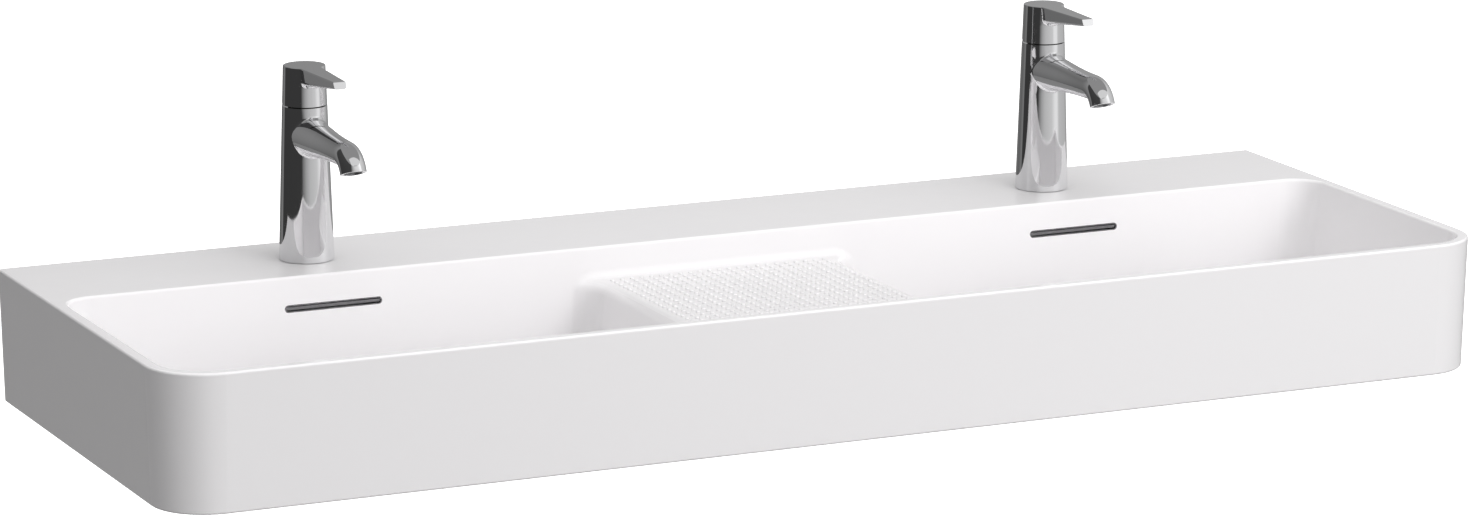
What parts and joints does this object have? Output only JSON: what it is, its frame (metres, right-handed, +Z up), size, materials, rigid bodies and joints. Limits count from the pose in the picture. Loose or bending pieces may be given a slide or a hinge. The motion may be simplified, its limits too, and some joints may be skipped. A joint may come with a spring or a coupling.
{
  "type": "double washbasin",
  "caption": "Wall-hung double washbasin: a wide glazed ceramic trough with rectangular bowls either side of a raised shelf, single-lever chrome taps and push-open wastes.",
  "frame": {"origin": "on the wall face, on the centre line, at the height of the wall fixing holes", "axes": "+X along the wall to the right seen from the room, +Y into the wall, -Y out into the room, +Z up"},
  "size_m": [1.1998, 0.4199, 0.3145],
  "materials": {
    "glaze": "gloss",
    "chrome": "polished",
    "rubber": "matte",
    "steel": "satin",
    "brass": "machined",
    "disc_ceramic": "lapped",
    "cartridge_plastic": "moulded",
    "plug_plastic": "gloss",
    "aerator_plastic": "moulded",
    "nut_plastic": "moulded",
    "latch_plastic": "moulded"
  },
  "bodies": {
    "basin": {"basin_body": "glaze", "left_overflow_trim": "chrome", "left_tap_body": "chrome", "left_tap_base_seal": "rubber", "left_tap_stud": "steel", "left_tap_rubber_washer": "rubber", "left_tap_clamp_plate": "steel", "left_tap_fixing_nut": "brass", "left_cartridge_housing": "cartridge_plastic", "left_cartridge_fixed_disc": "disc_ceramic", "left_cartridge_nut": "brass", "left_aerator_housing": "chrome", "left_aerator_insert": "aerator_plastic", "left_aerator_seal": "rubber", "left_waste_body": "chrome", "left_waste_upper_seal": "rubber", "left_waste_lower_seal": "rubber", "left_waste_backnut": "nut_plastic", "left_waste_latch": "latch_plastic", "right_overflow_trim": "chrome", "right_tap_body": "chrome", "right_tap_base_seal": "rubber", "right_tap_stud": "steel", "right_tap_rubber_washer": "rubber", "right_tap_clamp_plate": "steel", "right_tap_fixing_nut": "brass", "right_cartridge_housing": "cartridge_plastic", "right_cartridge_fixed_disc": "disc_ceramic", "right_cartridge_nut": "brass", "right_aerator_housing": "chrome", "right_aerator_insert": "aerator_plastic", "right_aerator_seal": "rubber", "right_waste_body": "chrome", "right_waste_upper_seal": "rubber", "right_waste_lower_seal": "rubber", "right_waste_backnut": "nut_plastic", "right_waste_latch": "latch_plastic"},
    "left_swivel": {"left_cartridge_carrier": "cartridge_plastic", "left_cartridge_moving_disc": "disc_ceramic", "left_cartridge_pivot_pin": "steel"},
    "left_lever": {"left_cartridge_spindle": "brass", "left_lever_handle": "chrome", "left_handle_screw": "steel", "left_handle_screw_plug": "plug_plastic"},
    "left_plug": {"left_waste_plug_cap": "chrome", "left_waste_plug_stem": "brass", "left_waste_plug_seal": "rubber"},
    "right_swivel": {"right_cartridge_carrier": "cartridge_plastic", "right_cartridge_moving_disc": "disc_ceramic", "right_cartridge_pivot_pin": "steel"},
    "right_lever": {"right_cartridge_spindle": "brass", "right_lever_handle": "chrome", "right_handle_screw": "steel", "right_handle_screw_plug": "plug_plastic"},
    "right_plug": {"right_waste_plug_cap": "chrome", "right_waste_plug_stem": "brass", "right_waste_plug_seal": "rubber"}
  },
  "joints": [
    {"name": "left_tap_temperature", "type": "hinge", "parent": "basin", "child": "left_swivel", "pos_m": [-0.35, -0.068, 0.194], "axis": [0, 0, 1], "range_deg": [-50, 50]},
    {"name": "left_tap_flow", "type": "hinge", "parent": "left_swivel", "child": "left_lever", "pos_m": [-0.35, -0.068, 0.194], "axis": [-1, 0, 0], "range_deg": [0, 20]},
    {"name": "left_plug_travel", "type": "slide", "parent": "basin", "child": "left_plug", "axis": [0, 0, 1], "range_m": [-0.0065, 0]},
    {"name": "right_tap_temperature", "type": "hinge", "parent": "basin", "child": "right_swivel", "pos_m": [0.35, -0.068, 0.194], "axis": [0, 0, 1], "range_deg": [-50, 50]},
    {"name": "right_tap_flow", "type": "hinge", "parent": "right_swivel", "child": "right_lever", "pos_m": [0.35, -0.068, 0.194], "axis": [-1, 0, 0], "range_deg": [0, 20]},
    {"name": "right_plug_travel", "type": "slide", "parent": "basin", "child": "right_plug", "axis": [0, 0, 1], "range_m": [-0.0065, 0]}
  ]
}
